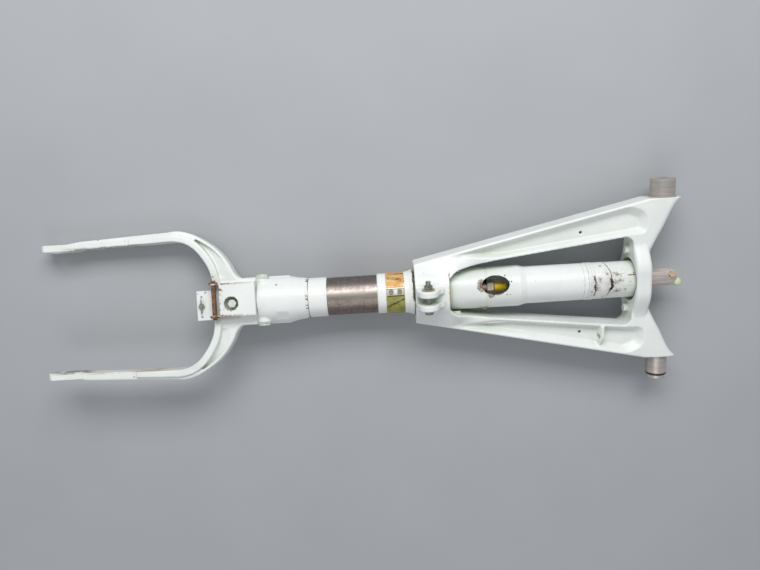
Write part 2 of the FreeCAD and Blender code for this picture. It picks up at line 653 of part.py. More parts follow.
# ---- barrel: turns with the steering --------------------------------------------
flare_end = MOUTH_X + FLARE_LENGTH
sleeve_end = MOUTH_X + SLEEVE_LENGTH
tube_x = sleeve_end + SLEEVE_RUNOUT
bulkhead_end = BULKHEAD_X + BULKHEAD_T
bead2_x = BEAD_X + BEAD_T + BEAD_GAP
skirt_x = bead2_x + BEAD_T
seam_x = collar_end + 1.0
barrel = turned([
    (MOUTH_X, SLEEVE_R + 0.1), (MOUTH_X + 5.0, SLEEVE_R + 0.7), (flare_end - 2.0, FLARE_R),
    (flare_end, FLARE_R), (flare_end, SLEEVE_R), (seam_x, SLEEVE_R), (seam_x + 0.4, SLEEVE_R - 0.5),
    (seam_x + 1.8, SLEEVE_R - 0.5), (seam_x + 2.2, SLEEVE_R), (SLEEVE_SCREW_X - 0.7, SLEEVE_R),
    (SLEEVE_SCREW_X - 0.3, SLEEVE_R - 0.4), (SLEEVE_SCREW_X + 0.3, SLEEVE_R - 0.4),
    (SLEEVE_SCREW_X + 0.7, SLEEVE_R), (sleeve_end, SLEEVE_R), (tube_x, TUBE_R + 0.4),
    (tube_x, TUBE_R), (BEAD_X, TUBE_R - 0.4), (BEAD_X + 0.7, TUBE_R + 0.2),
    (BEAD_X + BEAD_T, TUBE_R + 0.2), (BEAD_X + BEAD_T + 0.6, TUBE_R - 0.6),
    (bead2_x - 0.6, TUBE_R - 0.6), (bead2_x, TUBE_R + 0.2), (skirt_x, TUBE_R + 0.2),
    (skirt_x + 1.0, TUBE_TOP_R + 0.3), (skirt_x + SKIRT_LENGTH, TUBE_TOP_R + 0.3),
    (skirt_x + SKIRT_LENGTH + 1.0, TUBE_TOP_R), (BARREL_END, TUBE_TOP_R), (BARREL_END, TUBE_TOP_BORE_R),
    (bulkhead_end, TUBE_TOP_BORE_R), (bulkhead_end, VALVE_R), (BULKHEAD_X, VALVE_R),
    (BULKHEAD_X, BORE_R), (MOUTH_X, BORE_R),
])
oval = Part.Wire(Part.Ellipse(ORIGIN, WINDOW_HALF_X, WINDOW_HALF_Y).toShape())
oval = Part.Face(oval).extrude(V(0, 0, 2 * SLEEVE_R))
oval.translate(V(WINDOW_X, WINDOW_Y, WINDOW_Z))
barrel = barrel.cut(oval)
for x, y in WINDOW_DOTS:
    barrel = barrel.cut(rod_z(BORE_R - 2.0, 2 * SLEEVE_R, DOT_R, WINDOW_X + x, y))
barrel = barrel.cut(rod_y(-2 * SLEEVE_R, 2 * SLEEVE_R, SLEEVE_SCREW_R, SLEEVE_SCREW_X))
keep("barrel_tube", barrel, True)

screws = []
for side in (1, -1):
    screw = rod_y(BORE_R + 0.1, SLEEVE_R + 0.4, SLEEVE_SCREW_R, SLEEVE_SCREW_X)
    screw = screw.fuse(rod_y(SLEEVE_R + 0.4, SLEEVE_R + 1.5, SLEEVE_SCREW_R + 1, SLEEVE_SCREW_X))
    screws.append(screw if side == 1 else mirror_y(screw))
keep("sleeve_screws", Part.makeCompound(screws), True)

band_x0 = GLAND_X + GLAND_LENGTH + BAND_MARGIN
band_x1 = MOUTH_X - BAND_MARGIN
gland = turned([
    (GLAND_X, GLAND_R - 0.8), (GLAND_X + 1.5, GLAND_R), (band_x0 - BAND_MARGIN, GLAND_R),
    (band_x0 - BAND_MARGIN, GLAND_THREAD_R), (MOUTH_X - 0.1, GLAND_THREAD_R),
    (MOUTH_X - 0.1, PISTON_R + RUN), (GLAND_X, PISTON_R + RUN),
])
keep("gland_nut", gland, True)

# split clamp band: one sheet with a notch, its screws standing in the notch
clamp = ring(band_x0, band_x1, BAND_R, BAND_R - BAND_T)
clamp = clamp.cut(box(band_x0 + 1.5, band_x1 - 1.5, -1.9, 5.0, 20, 40))
clamp = clamp.cut(box(band_x0 - 1, band_x1 + 1, 6.6, 7.2, 20, 40))
keep("split_band", clamp, True)
band_screws = []
for side in (1, -1):
    x = (band_x0 + band_x1) / 2 + side * BAND_SCREW_PITCH / 2
    head = rod_z(BORE_R, BAND_R + 1.3, BAND_SCREW_R, x, 1.5)
    head = head.cut(rod(band_x0 - 5, band_x1 + 5, GLAND_THREAD_R + RUN))
    head = head.cut(box(x - 4, x + 4, 1.1, 1.9, BAND_R + 0.7, BAND_R + 3))
    band_screws.append(head)
keep("band_screws", Part.makeCompound(band_screws), True)

valve = rod(BULKHEAD_X - 3, bulkhead_end + 4.5, VALVE_R)
valve = valve.fuse(hexagon(bulkhead_end, bulkhead_end + 8, VALVE_HEX))
valve = valve.fuse(rod(bulkhead_end + 8, bulkhead_end + 15, VALVE_NECK_R))
valve = valve.fuse(rod(BULKHEAD_X - BULKHEAD_T, BULKHEAD_X, VALVE_R + 3)).removeSplitter()
keep("filler_valve", valve, True)
cap_x = bulkhead_end + 10
cap = rod(cap_x, cap_x + CAP_LENGTH, CAP_R).cut(rod(cap_x - 1, bulkhead_end + 17, VALVE_NECK_R))
cap = cap.fuse(ring(cap_x, cap_x + 3, CAP_R + 0.6, VALVE_NECK_R)).removeSplitter()
keep("valve_cap", cap, True)

orifice_end = BULKHEAD_X - BULKHEAD_T
orifice = rod(MOUTH_X, orifice_end, ORIFICE_R)
orifice = orifice.cut(rod(MOUTH_X + 3, orifice_end + 5, ORIFICE_R - ORIFICE_WALL))
orifice = orifice.fuse(rod(ORIFICE_FLANGE_X, MOUTH_X + 2, ORIFICE_FLANGE_R))
orifice = orifice.cut(rod(ORIFICE_FLANGE_X - 5, MOUTH_X + 10, ORIFICE_END))
for i in range(3):
    x = orifice_end - 17 - i * CROSS_HOLE_PITCH
    orifice = orifice.cut(rod_y(-2 * ORIFICE_R, 2 * ORIFICE_R, CROSS_HOLE_R, x))
keep("orifice_tube", orifice.removeSplitter(), True)

# steering stem: spigot in the barrel, flange on its end, stem through the end wall
flange_x = BARREL_END
flange_end = flange_x + STEM_FLANGE_T
stem_end = BARREL_END + STEM_LENGTH
bore_fit = TUBE_TOP_BORE_R - RUN
stem = turned([
    (flange_x - STEM_SPIGOT, 0.0), (flange_x - STEM_SPIGOT, bore_fit), (flange_x, bore_fit),
    (flange_x, STEM_FLANGE_R), (flange_end, STEM_FLANGE_R), (flange_end, STEM_R),
    (stem_end - STEM_NOSE, STEM_R), (stem_end - 2.5, STEM_R - 2.5), (stem_end - 0.5, STEM_R - 6.5),
    (stem_end, 0.0),
])
flat_x = ring_x1 + BUSH_LIP + 1.0
stem = stem.cut(box(flat_x, stem_end - 15, 0.5, 5.5, STEM_FLAT_Z, 2 * STEM_R))
plug_x = stem_end - 9.5
plug_y = 2.8
stem = stem.cut(rod_z(6, 20, STEM_PLUG_R, plug_x, plug_y))
stem = stem.cut(rod_z(STEM_R - 1.1, 20, STEM_PLUG_R + 2, plug_x, plug_y))
knob_x = stem_end - 0.5
ball = Part.makeSphere(KNOB_R, V(knob_x, KNOB_Y, KNOB_Z))
neck = rod(knob_x - 11, knob_x, KNOB_NECK_R, KNOB_Y, KNOB_Z)
stem = stem.cut(rod(knob_x - 11, knob_x + 5, KNOB_NECK_R, KNOB_Y, KNOB_Z)).cut(ball)
keep("steering_stem", stem, True)
plug = hexagon_z(STEM_R - 1.1, STEM_R + 1.9, 7.6, plug_x, plug_y)
plug = plug.fuse(rod_z(6.2, STEM_R - 0.9, STEM_PLUG_R - RUN, plug_x, plug_y))
keep("stem_plug", plug, True)
keep("stem_fitting", ball.fuse(neck).removeSplitter(), True)

# ---- piston bearing ring: slides in the barrel ------------------------------------
seal_x = HEAD_X + HEAD_LENGTH / 2
bearing = ring(HEAD_X + GAP, head_end - GAP, BORE_R - RUN, HEAD_SEAT_R + RUN)
groove = ring(seal_x - SEAL_GROOVE / 2, seal_x + SEAL_GROOVE / 2, BORE_R + 5, BORE_R - 1.25)
keep("piston_bearing_ring", bearing.cut(groove), True)
seal_r = BORE_R - 0.15 - SEAL_WIRE
keep("piston_seal", Part.makeTorus(seal_r, SEAL_WIRE, V(seal_x, 0, 0), X_AXIS), True)

# ---- piston and fork ---------------------------------------------------------------
snap_x = head_end + 0.1
tube = turned([
    (piston_foot, PISTON_BORE_R), (piston_foot, PISTON_R), (HEAD_X, PISTON_R),
    (HEAD_X, HEAD_SEAT_R), (snap_x, HEAD_SEAT_R), (snap_x, SNAP_GROOVE_R),
    (snap_x + SNAP_T, SNAP_GROOVE_R), (snap_x + SNAP_T, HEAD_SEAT_R),
    (piston_end, HEAD_SEAT_R), (piston_end, PISTON_BORE_R),
])
cross_hole = rod_y(-2 * CROSS_BOSS_FACE, 2 * CROSS_BOSS_FACE, CROSS_BOLT_R, CROSS_BOLT_X, CROSS_BOLT_Z)
keep("piston_tube", tube.cut(cross_hole), True)
snap = ring(snap_x, snap_x + SNAP_T, PISTON_R - 0.1, SNAP_GROOVE_R)
snap = snap.cut(box(snap_x - 2, snap_x + 5, -2.5, 2.5, -30, 0))
keep("piston_snap_ring", snap, True)
top_x = piston_end - 0.5
keep("piston_top_plug", ring(top_x - TOP_PLUG_LENGTH, top_x, PISTON_BORE_R, TOP_PLUG_BORE_R), True)
plug_x0 = CROSS_BOLT_X + PLUG_SET
bottom = ring(plug_x0, plug_x0 + PLUG_T, PISTON_BORE_R, PISTON_BORE_R - 2)
bottom = bottom.fuse(rod(plug_x0 + 1, plug_x0 + 1 + PLUG_FLOOR, PISTON_BORE_R - 2))
needle_x = plug_x0 + 10
bottom = bottom.removeSplitter().cut(rod(needle_x, needle_x + 10, NEEDLE_R))
keep("piston_bottom_plug", bottom, True)
needle_end = needle_x + NEEDLE_REACH
needle = turned([
    (needle_x, 0.0), (needle_x, NEEDLE_R), (needle_end - 39, NEEDLE_R),
    (needle_end - 15, NEEDLE_HEAD_R), (needle_end - 4, NEEDLE_HEAD_R), (needle_end, 2.0),
    (needle_end, 0.0),
])
keep("metering_pin", needle, True)

stop_end = COLLAR_X + COLLAR_LENGTH
stop = turned([
    (COLLAR_X, COLLAR_R - 0.7), (COLLAR_X + 0.8, COLLAR_R), (stop_end - 2.2, COLLAR_R),
    (stop_end - 2.0, COLLAR_R - 0.3), (stop_end, COLLAR_R - 0.3),
    (stop_end, PISTON_R), (COLLAR_X, PISTON_R),
])
keep("stop_collar", stop, True)

# fork casting: the bends are (along the strut, out from the axis)
outer_bend = [(BEND_X, BEND_OUT), (BEND_X + 14.0, BEND_OUT + 0.4), (BEND_X + 25.0, 92.4),
              (BEND_X + 42.0, 83.6), (BEND_X + 58.0, 71.8), (BEND_X + 69.5, 58.8),
              (BEND_X + 77.0, 46.4), (BEND_X + 83.0, 35.0), (BEND_X + 90.5, NECK_Y)]
inner_bend = [(THROAT_X, 0.0), (THROAT_X + 0.3, 22.0), (THROAT_X - 0.7, 32.0),
              (THROAT_X - 4.9, 46.3), (THROAT_X - 13.0, 60.3), (THROAT_X - 24.8, 73.5),
              (THROAT_X - 37.5, 80.0), (THROAT_X - 51.5, THROAT_IN)]


def thickened(curve, wall):
    """Points of a curve moved out by the wall, square to its run."""
    moved = []
    for i, (x, y) in enumerate(curve):
        ax, ay = curve[max(i - 1, 0)]
        bx, by = curve[min(i + 1, len(curve) - 1)]
        run = math.hypot(bx - ax, by - ay)
        moved.append((x + wall * (by - ay) / run, y - wall * (bx - ax) / run))
    return moved


bend_in = (THROAT_X - 51.5, THROAT_IN)
crown_end = SOCKET_STEP_X + 1.0
half = curve_slab([
    [(20.0, PAD_IN), (20.0, PAD_OUT + 1.0)],
    [(20.0, PAD_OUT + 1.0), (36.0, ARM_OUT)],
    [(36.0, ARM_OUT), (BEND_X, BEND_OUT)],
    outer_bend,
    [outer_bend[-1], (crown_end, NECK_Y)],
    [(crown_end, NECK_Y), (crown_end, 0.0)],
    [(crown_end, 0.0), (THROAT_X, 0.0)],
    inner_bend,
    [bend_in, (36.0, ARM_IN)],
    [(36.0, ARM_IN), (20.0, PAD_IN)],
], -ARM_HALF, ARM_HALF)


def on_outside(edge):
    limits = edge.BoundBox
    flat = lies_at_z(edge, ARM_HALF) or lies_at_z(edge, -ARM_HALF)
    return flat and limits.XLength > 60 and limits.YMax > BEND_OUT - 0.1


half = soften(half, ARM_ROUND, on_outside)
band_out = thickened(inner_bend, BAND_WALL)
inner_band = curve_slab([
    [(BAND_START, PAD_IN + 3.3), (BAND_START, ARM_OUT - 1.0)],
    [(BAND_START, ARM_OUT - 1.0), band_out[-1]],
    list(reversed(band_out)),
    [band_out[0], inner_bend[0]],
    inner_bend,
    [bend_in, (BAND_START, PAD_IN + 3.3)],
], -BAND_HALF, BAND_HALF)
recess_in = thickened(inner_bend[2:-2], BAND_WALL / 2)
recess_out = thickened(outer_bend[2:-1], FLANGE)
web_recess = curve_slab([
    recess_in,
    [recess_in[-1], recess_out[0]],
    recess_out,
    [recess_out[-1], recess_in[0]],
], WEB_HALF, 40.0)
# the recess gets shallow towards both of its ends
slope = Part.Face(Part.makePolygon([
    V(RECESS_START, 0, ARM_HALF), V(RECESS_START + RECESS_RAMP, 0, WEB_HALF),
    V(RECESS_END - RECESS_RAMP, 0, WEB_HALF), V(RECESS_END, 0, ARM_HALF), V(RECESS_END, 0, 2 * ARM_HALF),
    V(RECESS_START, 0, 2 * ARM_HALF), V(RECESS_START, 0, ARM_HALF)])).extrude(V(0, 2 * BEND_OUT, 0))
web_recess = web_recess.common(slope)
half = half.cut(web_recess).cut(mirror_z(web_recess))
half = half.fuse(inner_band)
pad_body = rod_y(PAD_IN, PAD_OUT, PAD_R, 0.0)
pad_body = pad_body.fuse(box(0.0, PAD_TAIL, PAD_IN, PAD_OUT, -PAD_HALF, PAD_HALF))
pad_body = pad_body.common(box(-2 * PAD_R, PAD_TAIL, 0, 2 * PAD_OUT, -PAD_HALF, PAD_HALF))
half = half.fuse(pad_body)
arms = join([half, mirror_y(half)])

socket = turned([
    (SOCKET_X, PISTON_R), (SOCKET_X, SOCKET_FOOT_R), (SOCKET_STEP_X, SOCKET_FOOT_R),
    (SOCKET_STEP_X, SOCKET_R - 0.8), (SOCKET_STEP_X + 6, SOCKET_R),
    (SOCKET_SHOULDER_X, SOCKET_R), (SOCKET_SHOULDER_X + 11, SOCKET_NOSE_R + 1.4),
    (SOCKET_NOSE_X, SOCKET_NOSE_R), (SOCKET_NOSE_X + 0.4, SOCKET_LIP_R),
    (socket_end, SOCKET_LIP_R), (socket_end, PISTON_R),
])
ribs = box(SOCKET_X, SOCKET_SHOULDER_X, -RIB_Y, RIB_Y, -RIB_HALF_Z, RIB_HALF_Z)
neck_block = box(SOCKET_X - 2, crown_end, -NECK_Y, NECK_Y, -NECK_HALF_Z, NECK_HALF_Z)
neck_block = soften(neck_block, NECK_ROUND, lambda e: e.BoundBox.XLength > 10)
crown = box(CROWN_X, piston_foot, -CROWN_HALF_Y, CROWN_HALF_Y, -CROWN_HALF_Z, CROWN_HALF_Z)
crown = soften(crown, CROWN_ROUND, lambda e: e.BoundBox.XLength > 10)
cross_boss = rod_y(-CROSS_BOSS_FACE, CROSS_BOSS_FACE, CROSS_BOSS_R, CROSS_BOLT_X, CROSS_BOLT_Z)
fork = join([arms, socket, ribs, neck_block, crown, cross_boss])
fork = fork.cut(rod(piston_foot - 0.1, socket_end + 5, PISTON_R))
for side in (1, -1):
    face = rod_y(0, 10, CROSS_BOSS_R, CROSS_BOLT_X, CROSS_BOLT_Z)
    face.translate(V(0, CROSS_BOSS_FACE if side == 1 else -CROSS_BOSS_FACE - 10, 0))
    fork = fork.cut(face)
    fork = fork.cut(rod_y(min(side * 60, side * 100), max(side * 60, side * 100), AXLE_R, 0.0))
fork = fork.cut(cross_hole)
facet = box(FACET_X, FACET_X + FACET_LENGTH, -SOCKET_R / 2, SOCKET_R / 2,
            SOCKET_R - FACET_DEPTH, SOCKET_R + 10)
facet.rotate(ORIGIN, X_AXIS, FACET_TURN)
fork = fork.cut(facet)
fork = fork.cut(rod_z(0.0, 2 * CROWN_HALF_Z, BRACKET_BOLT_R, BRACKET_BOLT_X, BRACKET_BOLT_Y))
keep("fork", fork, True)

# cross bolt through the socket and the foot of the piston
bolt_face = CROSS_BOSS_FACE + 1.2
cross = rod_y(-bolt_face, bolt_face + CROSS_NUT_T + 0.8, CROSS_BOLT_R, CROSS_BOLT_X, CROSS_BOLT_Z)
cross = cross.fuse(hexagon_y(-bolt_face - CROSS_HEAD_T, -bolt_face, CROSS_HEAD,
                             CROSS_BOLT_X, CROSS_BOLT_Z))
keep("cross_bolt", cross.removeSplitter(), True)
cross_nut = hexagon_y(bolt_face, bolt_face + CROSS_NUT_T, CROSS_HEAD, CROSS_BOLT_X, CROSS_BOLT_Z)
cross_set = [cross_nut.cut(cross_hole)]
for y0 in (-bolt_face, CROSS_BOSS_FACE):
    washer = rod_y(y0, y0 + 1.2, CROSS_BOSS_R - 0.8, CROSS_BOLT_X, CROSS_BOLT_Z)
    cross_set.append(washer.cut(cross_hole))
keep("cross_bolt_nut", Part.makeCompound(cross_set), True)

# tow bar bracket: bent sheet standing on the crown
sheet = box(BRACKET_X, BRACKET_END, BRACKET_Y - BRACKET_HALF, BRACKET_Y + BRACKET_HALF,
            BRACKET_Z - SHEET, BRACKET_Z)
cheek_x0 = TOW_X - BRACKET_LUG
cheek_x1 = CROSS_BOLT_X - CROSS_BOSS_R - SKIN
for side in (1, -1):
    y_out = BRACKET_Y + side * BRACKET_HALF
    y0 = min(y_out, y_out - side * SHEET)
    cheek = box(cheek_x0, cheek_x1, y0, y0 + SHEET, CROWN_HALF_Z, BRACKET_Z)
    sheet = sheet.fuse(cheek.cut(rod_y(-80, 80, TOW_R, TOW_X, TOW_Z)))
sheet = sheet.removeSplitter()
sheet = sheet.cut(rod_z(20, 40, BRACKET_HOLE_R, BRACKET_BOLT_X, BRACKET_BOLT_Y))
sheet = sheet.cut(rod(SOCKET_X - 2, SOCKET_STEP_X, SOCKET_FOOT_R + SKIN))
keep("tow_bracket", sheet, True)
dish = rod_z(CROWN_HALF_Z, CROWN_HALF_Z + DISH_T, DISH_R, BRACKET_BOLT_X, BRACKET_BOLT_Y)
shank = rod_z(2.0, 2 * CROWN_HALF_Z, BRACKET_BOLT_R, BRACKET_BOLT_X, BRACKET_BOLT_Y)
keep("bracket_washer", dish.cut(shank), True)
head_z = CROWN_HALF_Z + DISH_T
bracket_bolt = rod_z(2.0, head_z, BRACKET_BOLT_R, BRACKET_BOLT_X, BRACKET_BOLT_Y)
bracket_bolt = bracket_bolt.fuse(hexagon_z(head_z, head_z + BRACKET_HEAD_T, BRACKET_HEX,
                                           BRACKET_BOLT_X, BRACKET_BOLT_Y))
keep("bracket_bolt", bracket_bolt, True)

tow_half = BRACKET_HALF + TOW_OVERHANG
keep("tow_pin", rod_y(BRACKET_Y - tow_half, BRACKET_Y + tow_half, TOW_R, TOW_X, TOW_Z), True)
tow_washers = []
for side in (1, -1):
    y_in = BRACKET_Y + side * BRACKET_HALF
    y0 = min(y_in, y_in + side * TOW_WASHER_T)
    washer = rod_y(y0, y0 + TOW_WASHER_T, TOW_WASHER_R, TOW_X, TOW_Z)
    tow_washers.append(washer.cut(rod_y(y0 - 1, y0 + 3, TOW_R, TOW_X, TOW_Z)))
keep("tow_pin_washers", Part.makeCompound(tow_washers), True)

# keeper plate in the throat of the fork, held by one screw
keeper_lo = KEEPER_Y - KEEPER_HALF
keeper_hi = KEEPER_Y + KEEPER_HALF
keeper_top = KEEPER_Z + KEEPER_T
keeper = box(KEEPER_X, THROAT_X, keeper_lo, keeper_hi, KEEPER_Z, keeper_top)
keeper = keeper.fuse(box(THROAT_X - KEEPER_T, THROAT_X, keeper_lo, keeper_hi, 0.0, keeper_top))
for y in (9.0, -10.0, -16.5):
    keeper = keeper.cut(rod_z(10, 20, 1.5, KEEPER_SCREW_X, y))
screw_hole = rod_z(5, 20, KEEPER_SCREW_R, KEEPER_SCREW_X, KEEPER_SCREW_Y)
keep("keeper_plate", keeper.cut(screw_hole).removeSplitter(), True)
keeper_screw = rod_z(KEEPER_Z - 5, keeper_top + 4, KEEPER_SCREW_R, KEEPER_SCREW_X, KEEPER_SCREW_Y)
for z0, z1 in ((KEEPER_Z - 3, KEEPER_Z), (keeper_top, keeper_top + KEEPER_NUT_T)):
    keeper_screw = keeper_screw.fuse(hexagon_z(z0, z1, KEEPER_HEX, KEEPER_SCREW_X, KEEPER_SCREW_Y))
keep("keeper_screw", keeper_screw.removeSplitter(), True)
cotter_z = keeper_top + 3.4
cotter = rod_y(KEEPER_SCREW_Y - COTTER_HALF, KEEPER_SCREW_Y + COTTER_HALF, COTTER_R,
               KEEPER_SCREW_X, cotter_z)
cotter = cotter.cut(rod_z(0, 60, KEEPER_SCREW_R, KEEPER_SCREW_X, KEEPER_SCREW_Y))
keep("cotter_pin", cotter, True)

for name in sorted(parts):
    shape = parts[name]
    if not shape.isValid():
        print("invalid shape:", name)
    shape.exportStep("parts/" + name + ".step")
print(len(parts), "nodes")
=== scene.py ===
import json
import math

import bpy
from mathutils import Matrix, Vector


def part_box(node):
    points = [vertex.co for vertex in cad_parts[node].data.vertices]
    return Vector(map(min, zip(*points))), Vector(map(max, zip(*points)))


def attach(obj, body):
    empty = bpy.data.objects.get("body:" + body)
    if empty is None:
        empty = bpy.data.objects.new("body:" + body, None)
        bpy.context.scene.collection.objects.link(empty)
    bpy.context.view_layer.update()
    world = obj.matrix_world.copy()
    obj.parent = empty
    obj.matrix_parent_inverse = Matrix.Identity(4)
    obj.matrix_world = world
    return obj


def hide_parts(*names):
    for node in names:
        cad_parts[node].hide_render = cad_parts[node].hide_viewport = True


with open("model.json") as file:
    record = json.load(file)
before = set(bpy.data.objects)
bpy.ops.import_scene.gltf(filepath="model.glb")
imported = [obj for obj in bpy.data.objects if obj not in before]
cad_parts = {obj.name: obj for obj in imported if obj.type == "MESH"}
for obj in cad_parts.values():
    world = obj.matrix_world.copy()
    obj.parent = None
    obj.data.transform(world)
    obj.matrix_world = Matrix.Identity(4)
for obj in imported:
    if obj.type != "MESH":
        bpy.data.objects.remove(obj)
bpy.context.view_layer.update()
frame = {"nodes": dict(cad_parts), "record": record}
MM = 0.001
STEER = math.radians(13.0)  # the barrel and the fork lie turned by this about the strut's axis
# places of marks, in millimetres: along the strut from the axle, or out from its axis
SLEEVE_SKIN = 26.0
TUBE_SKIN = 25.0
FLARE_SEAM = 459.5
COLLAR_LIP = 504.0
SLEEVE_JOINT = 553.5
WINDOW = (561.8, 1.8, 24)
BEADS = (676.0, 681.5)
LOWER_CRACK = 689.6
UPPER_CRACK = 710.5
BAND_ENDS = (426, 447)
BRACKET_EDGES = (24.3, -16.3)
BRACKET_HOLE = (229.5, -1.2, 31)


# ---------------------------------------------------------------- shader helpers
class Mat:
    """A node material being built; coordinates are in metres, in the strut's own frame."""

    def __init__(self, name, turn=0.0):
        self.mat = bpy.data.materials.new(name)
        self.mat.use_nodes = True
        self.tree = self.mat.node_tree
        self.tree.nodes.clear()
        self.out = self.add("ShaderNodeOutputMaterial")
        self.bsdf = self.add("ShaderNodeBsdfPrincipled")
        self.link(self.bsdf.outputs["BSDF"], self.out.inputs["Surface"])
        self.coord = self.add("ShaderNodeTexCoord").outputs["Object"]
        if turn:
            m = self.add("ShaderNodeMapping")
            self.link(self.coord, m.inputs["Vector"])
            m.inputs["Rotation"].default_value = (turn, 0, 0)
            self.coord = m.outputs["Vector"]
        s = self.add("ShaderNodeSeparateXYZ")
        self.link(self.coord, s.inputs["Vector"])
        self.x, self.y, self.z = s.outputs["X"], s.outputs["Y"], s.outputs["Z"]
        self.colour = None
        self.rough = 0.5
        self.height = None

    def add(self, kind, **props):
        n = self.tree.nodes.new(kind)
        for k, v in props.items():
            setattr(n, k, v)
        return n

    def link(self, a, b):
        self.tree.links.new(a, b)

    def put(self, socket, value):
        if isinstance(value, bpy.types.NodeSocket):
            self.link(value, socket)
        else:
            socket.default_value = value

    def noise(self, scale, detail=4.0, rough=0.55, stretch=(1, 1, 1), seed=0.0):
        m = self.add("ShaderNodeMapping")
        self.link(self.coord, m.inputs["Vector"])
        m.inputs["Scale"].default_value = stretch
        m.inputs["Location"].default_value = (seed, seed * 0.37, seed * 1.7)
        n = self.add("ShaderNodeTexNoise")
        self.link(m.outputs["Vector"], n.inputs["Vector"])
        n.inputs["Scale"].default_value = scale
        n.inputs["Detail"].default_value = detail
        n.inputs["Roughness"].default_value = rough
        return n.outputs["Fac"]

    def grey(self, fac, a, b, lo=0.0, hi=1.0):
        """Map fac from a..b to lo..hi, clamped."""
        m = self.add("ShaderNodeMapRange")
        self.put(m.inputs["Value"], fac)
        m.inputs["From Min"].default_value = a
        m.inputs["From Max"].default_value = b
        m.inputs["To Min"].default_value = lo
        m.inputs["To Max"].default_value = hi
        return m.outputs["Result"]

    def math(self, op, a, b=0.0):
        m = self.add("ShaderNodeMath", operation=op)
        self.put(m.inputs[0], a)
        self.put(m.inputs[1], b)
        return m.outputs["Value"]

    def times(self, first, *others):
        for o in others:
            first = self.math("MULTIPLY", first, o)
        return first

    def most(self, *masks):
        first = masks[0]
        for o in masks[1:]:
            first = self.math("MAXIMUM", first, o)
        return first

    def mix(self, fac, a, b):
        """Blend two colours; a mix node holds its colour sockets after those of other kinds."""
        m = self.add("ShaderNodeMix", data_type="RGBA")
        self.put(m.inputs["Factor"], fac)
        for i, c in ((6, a), (7, b)):
            self.put(m.inputs[i], c if isinstance(c, bpy.types.NodeSocket) else (*c, 1.0))
        return m.outputs[2]

    # masks, all sizes in millimetres
    def within(self, axis, lo, hi, soft=0.5):
        """1 where the coordinate lies between lo and hi."""
        up = self.grey(axis, (lo - soft) * MM, (lo + soft) * MM)
        down = self.grey(axis, (hi - soft) * MM, (hi + soft) * MM, 1.0, 0.0)
        return self.times(up, down)

    def blob(self, centre, radii, ragged=0.5, soft=0.15, grain=300, seed=0.0):
        """1 inside a ragged ellipsoid."""
        at = self.add("ShaderNodeVectorMath", operation="SUBTRACT")
        self.link(self.coord, at.inputs[0])
        at.inputs[1].default_value = [c * MM for c in centre]
        by = self.add("ShaderNodeVectorMath", operation="DIVIDE")
        self.link(at.outputs["Vector"], by.inputs[0])
        by.inputs[1].default_value = [r * MM for r in radii]
        far = self.add("ShaderNodeVectorMath", operation="LENGTH")
        self.link(by.outputs["Vector"], far.inputs[0])
        wave = self.noise(grain, 5.0, 0.65, seed=seed + centre[0] * 0.01)
        d = self.math("ADD", far.outputs["Value"], self.grey(wave, 0.25, 0.75, -ragged, ragged))
        return self.grey(d, 1.0, 1.0 - soft - 0.001, 0.0, 1.0)

    def crack(self, x, y0, y1, width, sway, bow=0.0, seed=0.0):
        """A ragged line round the strut at x, from y0 to y1 on the side that faces up.

        It sways to each side, and its ends lie nearer to the axle by the bow.
        """
        wave = self.noise(160, 4.0, 0.7, (0.2, 1, 1), seed)
        line = self.grey(wave, 0.2, 0.8, (x - sway) * MM, (x + sway) * MM)
        mid = 0.5 * (y0 + y1) * MM
        if bow:
            off = self.math("SUBTRACT", self.y, mid)
            curve = self.times(off, off, bow / (((y1 - y0) / 2) ** 2 * MM))
            line = self.math("SUBTRACT", line, curve)
        gap = self.math("ABSOLUTE", self.math("SUBTRACT", self.x, line))
        broad = self.grey(self.noise(220, 3.0, seed=seed + 5), 0.3, 0.7, 0.2, 1.0)
        body = self.grey(self.math("DIVIDE", gap, self.math("MAXIMUM", broad, 0.05)),
                         width * MM, 0.6 * width * MM)
        return self.times(body, self.within(self.y, y0, y1, 1.5), self.grey(self.z, 0, 5 * MM))

    def hollow(self, reach, a, b):
        """1 in corners and gaps within the reach; 0 where the openness is a, 1 where it is b."""
        n = self.add("ShaderNodeAmbientOcclusion", samples=6)
        n.inputs["Distance"].default_value = reach * MM
        return self.grey(n.outputs["AO"], a, b)

    def edges(self, a, b):
        """1 along outer edges; for meshes of small even faces."""
        return self.grey(self.add("ShaderNodeNewGeometry").outputs["Pointiness"], a, b)

    def layer(self, mask, colour, rough=None, lift=0.0):
        """Lay a colour, and a roughness and a step in height, over what is there."""
        self.colour = self.mix(mask, self.colour, colour)
        if rough is not None:
            m = self.add("ShaderNodeMix", data_type="FLOAT")
            self.put(m.inputs["Factor"], mask)
            self.put(m.inputs[2], self.rough)
            self.put(m.inputs[3], rough)
            self.rough = m.outputs[0]
        if lift:
            self.raise_by(self.times(mask, lift * MM))

    def raise_by(self, height):
        self.height = height if self.height is None else self.math("ADD", self.height, height)

    def done(self, metallic=0.0):
        """Fill in the shader and give back the material."""
        put = self.bsdf.inputs
        self.put(put["Base Color"], self.colour)
        self.put(put["Roughness"], self.rough)
        self.put(put["Metallic"], metallic)
        if self.height is not None:
            b = self.add("ShaderNodeBump")
            b.inputs["Strength"].default_value = 1.0
            b.inputs["Distance"].default_value = 1.0
            self.put(b.inputs["Height"], self.height)
            self.link(b.outputs["Normal"], put["Normal"])
        return self.mat


def on_skin(x, y, radius):
    """The place at x and y on a round skin, on the side that faces up, in millimetres."""
    return x, y, math.sqrt(radius * radius - y * y)


